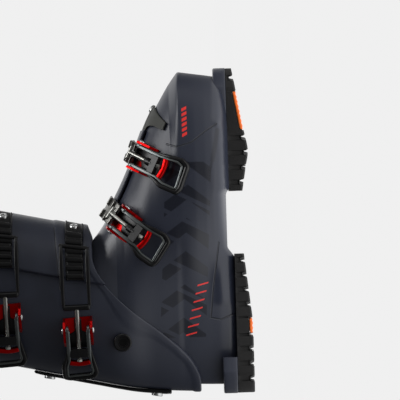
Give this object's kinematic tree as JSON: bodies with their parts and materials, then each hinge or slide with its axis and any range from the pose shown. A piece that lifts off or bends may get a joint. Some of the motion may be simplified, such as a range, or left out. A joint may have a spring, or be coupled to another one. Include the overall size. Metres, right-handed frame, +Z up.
{
  "type": "alpine ski boot",
  "caption": "Right-foot alpine ski boot: stiff overlap shell, hinged flexing cuff, lever buckles that hook over toothed catches, padded liner and treaded soles.",
  "frame": {"origin": "middle of the box's underside, on the floor that the soles stand on", "axes": "+X towards the toe, +Y towards the inner (medial) side of the leg, +Z up; the buckles' levers are on the outer side, -Y"},
  "size_m": [0.3064, 0.1326, 0.337],
  "materials": {
    "shell_plastic": "satin dark slate navy moulded plastic",
    "sole_rubber": "matt black moulded rubber",
    "glide_orange": "orange moulded plastic",
    "seal_rubber": "dark grey soft plastic",
    "anodised_red": "glossy red anodised aluminium",
    "lever_gunmetal": "gunmetal with a black rim",
    "catch_grey": "cast grey metal",
    "trim_black": "black moulded plastic",
    "steel": "bright steel",
    "liner_fabric": "black and charcoal textile over foam",
    "strap_webbing": "black woven webbing",
    "board_plastic": "grey moulded plastic"
  },
  "bodies": {
    "shell": {"boot_board": "board_plastic", "cuff_pivot_bolt_lateral": "trim_black", "cuff_pivot_bolt_medial": "trim_black", "heel_glide_plate": "glide_orange", "heel_sole": "sole_rubber", "heel_sole_screw_lateral": "steel", "heel_sole_screw_medial": "steel", "instep_base": "anodised_red", "instep_catch": "catch_grey", "instep_flap": "shell_plastic", "instep_rivet_front": "steel", "instep_rivet_rear": "steel", "liner_ankle": "liner_fabric", "liner_foot": "liner_fabric", "lower_shell": "shell_plastic", "shell_throat": "shell_plastic", "toe_base": "anodised_red", "toe_catch": "catch_grey", "toe_glide_plate": "glide_orange", "toe_rivet_front": "steel", "toe_rivet_rear": "steel", "toe_seal": "seal_rubber", "toe_seal_rivet": "steel", "toe_sole": "sole_rubber", "toe_sole_screw_lateral": "steel", "toe_sole_screw_medial": "steel"},
    "cuff": {"cuff_shell": "shell_plastic", "liner_cuff": "liner_fabric", "liner_tongue": "liner_fabric", "lower_cuff_base": "anodised_red", "lower_cuff_ladder": "trim_black", "lower_cuff_rivet_front": "steel", "lower_cuff_rivet_rear": "steel", "power_strap": "strap_webbing", "rear_spine": "trim_black", "spine_screw_lower": "steel", "spine_screw_upper": "steel", "spoiler": "trim_black", "upper_cuff_base": "anodised_red", "upper_cuff_ladder": "trim_black", "upper_cuff_rivet_front": "steel", "upper_cuff_rivet_rear": "steel"},
    "instep_bail": {"instep_bail": "steel"},
    "instep_lever": {"instep_lever": "lever_gunmetal"},
    "instep_trunnion": {"instep_trunnion": "anodised_red"},
    "lower_cuff_bail": {"lower_cuff_bail": "trim_black"},
    "lower_cuff_lever": {"lower_cuff_lever": "lever_gunmetal"},
    "lower_cuff_trunnion": {"lower_cuff_trunnion": "anodised_red"},
    "toe_bail": {"toe_bail": "steel"},
    "toe_lever": {"toe_lever": "lever_gunmetal"},
    "toe_trunnion": {"toe_trunnion": "anodised_red"},
    "upper_cuff_bail": {"upper_cuff_bail": "trim_black"},
    "upper_cuff_lever": {"upper_cuff_lever": "lever_gunmetal"},
    "upper_cuff_trunnion": {"upper_cuff_trunnion": "anodised_red"}
  },
  "joints": [
    {"name": "cuff_flex", "type": "hinge", "parent": "shell", "child": "cuff", "pos_m": [-0.10032, 0.00128, 0.122], "axis": [0, 1, 0], "range_deg": [0, 5], "stiffness_Nm_per_rad": 400, "deforming": ["shell_throat", "liner_ankle"]},
    {"name": "toe_lever_pivot", "type": "hinge", "parent": "shell", "child": "toe_lever", "pos_m": [0.07296, -0.03404, 0.10401], "axis": [-0.9009, 0.053, 0.4307], "range_deg": [0, 140]},
    {"name": "toe_trunnion_turn", "type": "hinge", "parent": "toe_lever", "child": "toe_trunnion", "pos_m": [0.064, -0.05033, 0.08728], "axis": [-0.9009, 0.053, 0.4307], "range_deg": [-140, 0]},
    {"name": "toe_bail_screw", "type": "slide", "parent": "toe_trunnion", "child": "toe_bail", "axis": [0.3891, 0.6263, 0.6755], "range_m": [0, 0.0015]},
    {"name": "instep_lever_pivot", "type": "hinge", "parent": "shell", "child": "instep_lever", "pos_m": [0.01406, -0.03854, 0.12207], "axis": [-0.787, 0.0891, 0.6105], "range_deg": [0, 140]},
    {"name": "instep_trunnion_turn", "type": "hinge", "parent": "instep_lever", "child": "instep_trunnion", "pos_m": [0.00047, -0.04844, 0.10599], "axis": [-0.787, 0.0891, 0.6105], "range_deg": [-140, 0]},
    {"name": "instep_bail_screw", "type": "slide", "parent": "instep_trunnion", "child": "instep_bail", "axis": [0.613, 0.3826, 0.6913], "range_m": [0, 0.0015]},
    {"name": "lower_cuff_lever_pivot", "type": "hinge", "parent": "cuff", "child": "lower_cuff_lever", "pos_m": [-0.08748, -0.05731, 0.16321], "axis": [-0.0259, 0.035, 0.9991], "range_deg": [0, 140]},
    {"name": "lower_cuff_trunnion_turn", "type": "hinge", "parent": "lower_cuff_lever", "child": "lower_cuff_trunnion", "pos_m": [-0.10866, -0.05159, 0.16246], "axis": [-0.0259, 0.035, 0.9991], "range_deg": [-140, 0]},
    {"name": "lower_cuff_bail_screw", "type": "slide", "parent": "lower_cuff_trunnion", "child": "lower_cuff_bail", "axis": [0.9728, -0.2311, 0.0161], "range_m": [0, 0.0012]},
    {"name": "upper_cuff_lever_pivot", "type": "hinge", "parent": "cuff", "child": "upper_cuff_lever", "pos_m": [-0.0738, -0.06103, 0.22922], "axis": [-0.0235, 0.0365, 0.9991], "range_deg": [0, 140]},
    {"name": "upper_cuff_trunnion_turn", "type": "hinge", "parent": "upper_cuff_lever", "child": "upper_cuff_trunnion", "pos_m": [-0.09513, -0.05441, 0.22848], "axis": [-0.0235, 0.0365, 0.9991], "range_deg": [-140, 0]},
    {"name": "upper_cuff_bail_screw", "type": "slide", "parent": "upper_cuff_trunnion", "child": "upper_cuff_bail", "axis": [0.9664, -0.2567, 0.0156], "range_m": [0, 0.0012]}
  ],
  "couplings": [
    {"joint": "toe_trunnion_turn", "follows": "toe_lever_pivot", "ratio": -1},
    {"joint": "instep_trunnion_turn", "follows": "instep_lever_pivot", "ratio": -1},
    {"joint": "lower_cuff_trunnion_turn", "follows": "lower_cuff_lever_pivot", "ratio": -1},
    {"joint": "upper_cuff_trunnion_turn", "follows": "upper_cuff_lever_pivot", "ratio": -1}
  ]
}
